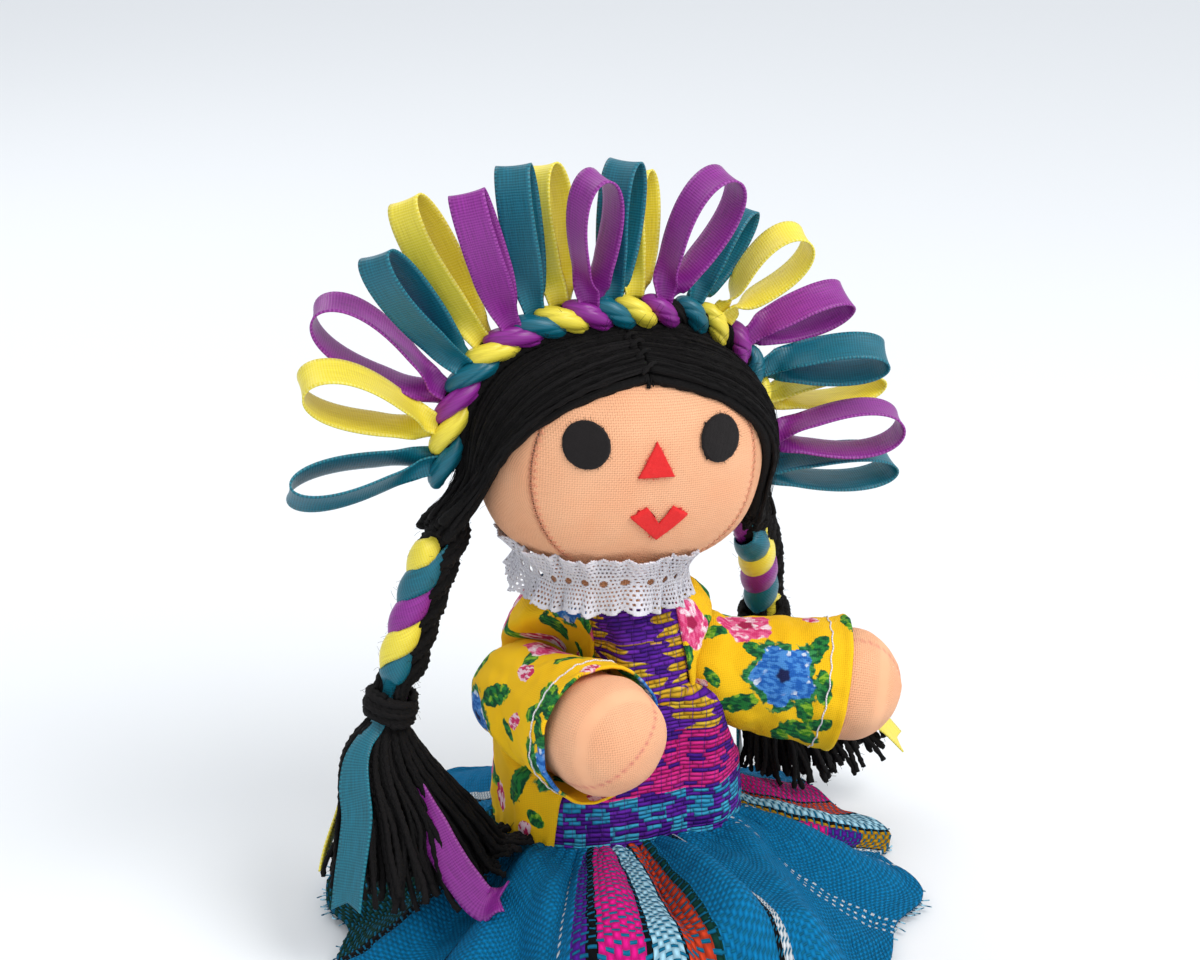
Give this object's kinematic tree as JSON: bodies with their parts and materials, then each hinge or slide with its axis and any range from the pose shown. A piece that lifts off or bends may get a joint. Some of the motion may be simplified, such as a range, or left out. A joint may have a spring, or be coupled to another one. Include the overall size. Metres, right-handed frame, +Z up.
{
  "type": "rag doll",
  "caption": "Seated cloth doll with stuffed head, body and limbs, yarn braids, a ribbon-loop crown and a gathered striped skirt.",
  "frame": {"origin": "middle of the flat seat under the body, on the surface that the doll sits on", "axes": "+Z up, -Y ahead of the doll's face, +X to the doll's left"},
  "size_m": [0.1223, 0.1139, 0.1442],
  "materials": {
    "skin_cloth": "plain-woven cotton, matte",
    "stuffing": "loose polyester fibre",
    "black_felt": "felt, matte",
    "red_felt": "felt, matte",
    "black_yarn": "acrylic yarn, matte",
    "white_lace": "cotton lace, matte",
    "floral_cotton": "printed cotton, matte",
    "brocade": "woven brocade, matte with a gold thread",
    "skirt_cloth": "coarse woven stripe, matte",
    "satin_teal": "satin ribbon, soft gloss",
    "satin_yellow": "satin ribbon, soft gloss",
    "satin_purple": "satin ribbon, soft gloss"
  },
  "bodies": {
    "torso": {"torso_skin": "skin_cloth", "torso_stuffing": "stuffing", "bodice": "brocade", "blouse": "floral_cotton", "skirt": "skirt_cloth"},
    "head": {"face_panel": "skin_cloth", "head_back_panel": "skin_cloth", "head_stuffing": "stuffing", "eye_right": "black_felt", "eye_left": "black_felt", "nose": "red_felt", "mouth": "red_felt", "hair_right": "black_yarn", "hair_left": "black_yarn", "parting_stitch": "black_yarn", "crown_core": "black_yarn", "lace_collar": "white_lace", "ribbon_loop_01": "satin_teal", "ribbon_loop_02": "satin_yellow", "ribbon_loop_03": "satin_purple", "ribbon_loop_04": "satin_teal", "ribbon_loop_05": "satin_yellow", "ribbon_loop_06": "satin_purple", "ribbon_loop_07": "satin_teal", "ribbon_loop_08": "satin_yellow", "ribbon_loop_09": "satin_purple", "ribbon_loop_10": "satin_teal", "ribbon_loop_11": "satin_yellow", "ribbon_loop_12": "satin_purple", "ribbon_loop_13": "satin_teal", "ribbon_loop_14": "satin_yellow", "ribbon_loop_15": "satin_purple", "ribbon_loop_16": "satin_teal", "ribbon_loop_17": "satin_yellow", "ribbon_loop_18": "satin_purple", "ribbon_loop_19": "satin_teal"},
    "arm_right": {"arm_skin_right": "skin_cloth", "arm_stuffing_right": "stuffing", "sleeve_right": "floral_cotton"},
    "arm_left": {"arm_skin_left": "skin_cloth", "arm_stuffing_left": "stuffing", "sleeve_left": "floral_cotton"},
    "leg_right": {"leg_skin_right": "skin_cloth", "leg_stuffing_right": "stuffing"},
    "leg_left": {"leg_skin_left": "skin_cloth", "leg_stuffing_left": "stuffing"},
    "braid_right": {"braid_right": "black_yarn", "braid_tie_right": "black_yarn", "tassel_right": "black_yarn", "braid_ribbon_teal_right": "satin_teal", "braid_ribbon_yellow_right": "satin_yellow", "braid_ribbon_purple_right": "satin_purple"},
    "braid_left": {"braid_left": "black_yarn", "braid_tie_left": "black_yarn", "tassel_left": "black_yarn", "braid_ribbon_teal_left": "satin_teal", "braid_ribbon_yellow_left": "satin_yellow", "braid_ribbon_purple_left": "satin_purple"}
  },
  "joints": [
    {"name": "head_turn", "type": "hinge", "parent": "torso", "child": "head", "pos_m": [0, 0, 0.0694], "axis": [0.0698, 0, 0.9976], "range_deg": [-12, 12]},
    {"name": "arm_right_swing", "type": "hinge", "parent": "torso", "child": "arm_right", "pos_m": [-0.0185, -0.003, 0.046], "axis": [-0.9563, -0.2924, 0], "range_deg": [-20, 20]},
    {"name": "arm_left_swing", "type": "hinge", "parent": "torso", "child": "arm_left", "pos_m": [0.0185, -0.003, 0.046], "axis": [-0.2924, -0.9563, 0], "range_deg": [-20, 20]},
    {"name": "leg_right_swing", "type": "hinge", "parent": "torso", "child": "leg_right", "pos_m": [-0.01, -0.0172, 0.0071], "axis": [0.9945, -0.1045, 0], "range_deg": [0, 90]},
    {"name": "leg_left_swing", "type": "hinge", "parent": "torso", "child": "leg_left", "pos_m": [0.01, -0.0172, 0.0071], "axis": [0.9945, 0.1045, 0], "range_deg": [0, 90]},
    {"name": "braid_right_swing", "type": "hinge", "parent": "head", "child": "braid_right", "pos_m": [-0.0315, 0.001, 0.0795], "axis": [0, 1, 0], "range_deg": [0, 20]},
    {"name": "braid_left_swing", "type": "hinge", "parent": "head", "child": "braid_left", "pos_m": [0.029, 0.0045, 0.0723], "axis": [0, -1, 0], "range_deg": [0, 20]}
  ]
}
